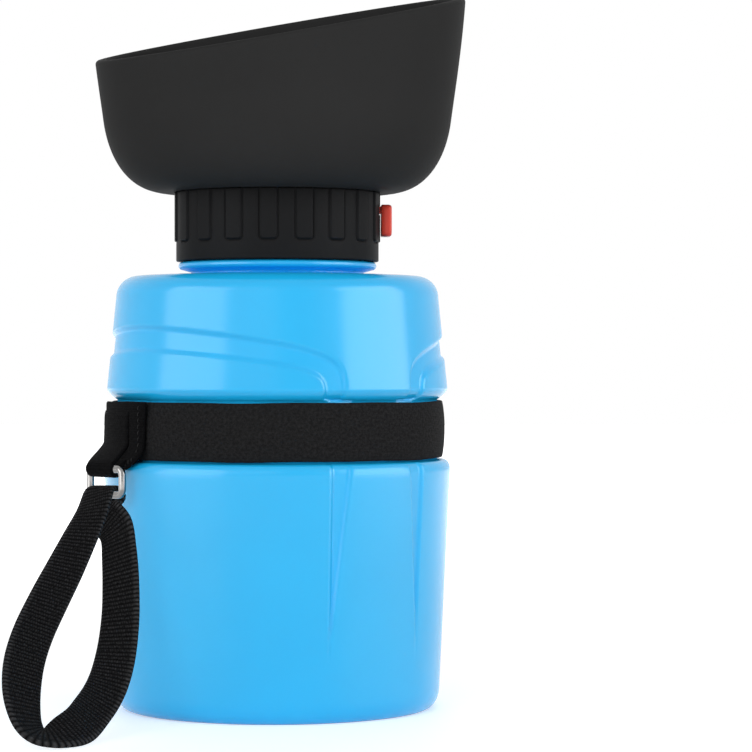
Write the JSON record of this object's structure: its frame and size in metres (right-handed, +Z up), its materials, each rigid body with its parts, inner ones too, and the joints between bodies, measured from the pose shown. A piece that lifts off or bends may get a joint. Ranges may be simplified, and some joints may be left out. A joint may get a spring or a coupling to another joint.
{
  "type": "dog travel water bottle",
  "caption": "Squeeze water bottle for dogs with a soft drinking bowl on its screw cap, a turning outlet lock, an elastic band and a wrist strap.",
  "frame": {"origin": "centre of the base, on the surface that the bottle stands on", "axes": "+Z up along the bottle's axis, +X towards the lock tab and the picture's right, -Y towards the picture's viewer"},
  "size_m": [0.1093, 0.1279, 0.1792],
  "materials": {
    "bottle_blue": "gloss",
    "black_plastic": "satin",
    "black_silicone": "satin",
    "lock_red": "satin",
    "black_elastic": "matte",
    "black_webbing": "matte",
    "chrome_wire": "polished",
    "clear_tube": "gloss",
    "pale_seal": "matte"
  },
  "bodies": {
    "bottle": {"bottle_body": "bottle_blue", "strap_band": "black_elastic", "strap_tab": "black_webbing"},
    "ring": {"strap_ring": "chrome_wire"},
    "wrist_loop": {"wrist_strap": "black_webbing"},
    "carrier": {"neck_gasket": "pale_seal"},
    "head": {"dip_tube": "clear_tube", "tube_funnel": "black_plastic", "screw_cap": "black_plastic", "shutter_seal": "pale_seal", "valve_cover": "black_plastic", "outlet_o_ring": "pale_seal", "silicone_bowl": "black_silicone", "bowl_clamp_ring": "black_plastic", "outlet_grille": "black_plastic"},
    "lock": {"shutter_disc": "lock_red", "lock_tab": "lock_red"}
  },
  "joints": [
    {"name": "thread_rise", "type": "slide", "parent": "bottle", "child": "carrier", "axis": [0, 0, 1], "range_m": [0, 0.01]},
    {"name": "cap_turn", "type": "hinge", "parent": "carrier", "child": "head", "pos_m": [0, 0, 0.12], "axis": [0, 0, 1], "range_deg": [0, 450]},
    {"name": "lock_turn", "type": "hinge", "parent": "head", "child": "lock", "pos_m": [0, 0, 0.124], "axis": [0, 0, 1], "range_deg": [0, 40]},
    {"name": "ring_swing", "type": "hinge", "parent": "bottle", "child": "ring", "pos_m": [-0.04123, -0.02448, 0.0603], "axis": [-0.6743, 0.7385, 0], "range_deg": [-8, 75]},
    {"name": "loop_swing", "type": "hinge", "parent": "ring", "child": "wrist_loop", "pos_m": [-0.04123, -0.02448, 0.0541], "axis": [-0.6743, 0.7385, 0], "range_deg": [-12, 20]}
  ],
  "couplings": [
    {"joint": "thread_rise", "follows": "cap_turn", "m_per_rad": 0.0012732}
  ]
}
